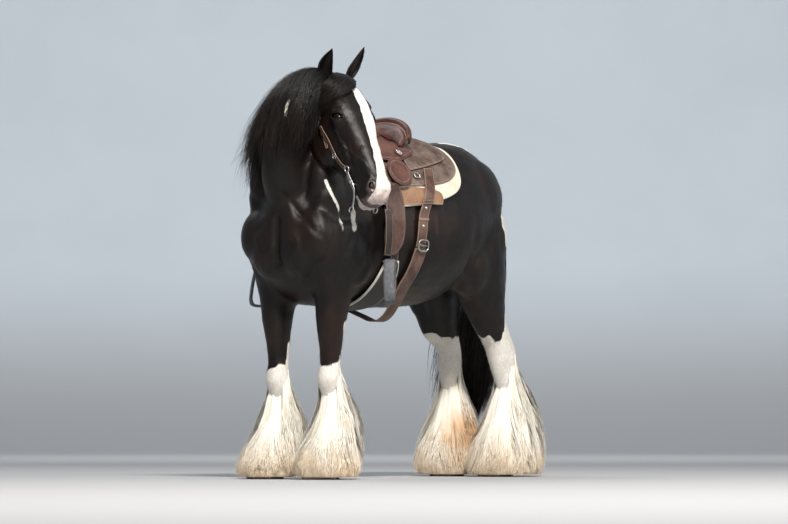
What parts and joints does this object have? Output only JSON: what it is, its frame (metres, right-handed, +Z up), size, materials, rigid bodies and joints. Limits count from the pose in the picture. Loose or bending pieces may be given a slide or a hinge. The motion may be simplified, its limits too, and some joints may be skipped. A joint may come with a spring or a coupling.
{
  "type": "gypsy vanner horse",
  "caption": "Life-size standing black-and-white draft cob with feathered feet, looking to its left, in a western saddle and bridle; a still museum-style model.",
  "frame": {"origin": "the floor under the middle of the model's bounding box", "axes": "+Z up; -Y the way the body faces; +X the horse's left side"},
  "size_m": [0.929, 1.7786, 1.8208],
  "materials": {
    "black_coat": "short glossy black hair",
    "white_hair": "long soft white hair",
    "tail_hair": "coarse black hair",
    "eye": "wet gloss",
    "hoof": "dull horn",
    "fleece": "matted fleece",
    "seat_leather": "worn suede",
    "stirrup": "painted, dull",
    "silver_metal": "polished, a little worn",
    "dark_leather": "satin",
    "tooled_leather": "satin, basket stamped"
  },
  "bodies": {
    "root": {"bit": "silver_metal", "cantle": "tooled_leather", "cheek_buckle_left": "silver_metal", "cheek_buckle_right": "silver_metal", "cheek_strap_left": "tooled_leather", "cheek_strap_right": "tooled_leather", "concho_left": "silver_metal", "concho_right": "silver_metal", "ear_left": "black_coat", "ear_right": "black_coat", "eye_left": "eye", "eye_right": "eye", "fender_left": "dark_leather", "fender_right": "dark_leather", "forearm_left": "black_coat", "forearm_right": "black_coat", "front_cinch": "fleece", "gaskin_left": "white_hair", "gaskin_right": "white_hair", "head": "black_coat", "headstall_concho_left": "silver_metal", "headstall_concho_right": "silver_metal", "headstall_crown": "tooled_leather", "hoof_fore_left": "hoof", "hoof_fore_right": "hoof", "hoof_hind_left": "hoof", "hoof_hind_right": "hoof", "latigo_left": "tooled_leather", "latigo_right": "tooled_leather", "lower_foreleg_left": "white_hair", "lower_foreleg_right": "white_hair", "lower_hindleg_left": "white_hair", "lower_hindleg_right": "white_hair", "neck": "black_coat", "rear_billet_left": "tooled_leather", "rear_billet_right": "tooled_leather", "rear_buckle_left": "silver_metal", "rear_buckle_right": "silver_metal", "rear_cinch": "tooled_leather", "rear_dee_left": "silver_metal", "rear_dee_right": "silver_metal", "rear_jockey_left": "tooled_leather", "rear_jockey_right": "tooled_leather", "rosette_left": "tooled_leather", "rosette_right": "tooled_leather", "saddle_fork": "tooled_leather", "saddle_pad": "fleece", "saddle_skirt": "tooled_leather", "seat": "seat_leather", "seat_base": "tooled_leather", "seat_jockey_left": "tooled_leather", "seat_jockey_right": "tooled_leather", "stirrup_leather_left": "dark_leather", "stirrup_leather_right": "dark_leather", "stirrup_left": "stirrup", "stirrup_right": "stirrup", "tail": "tail_hair", "torso": "black_coat"}
  },
  "joints": []
}
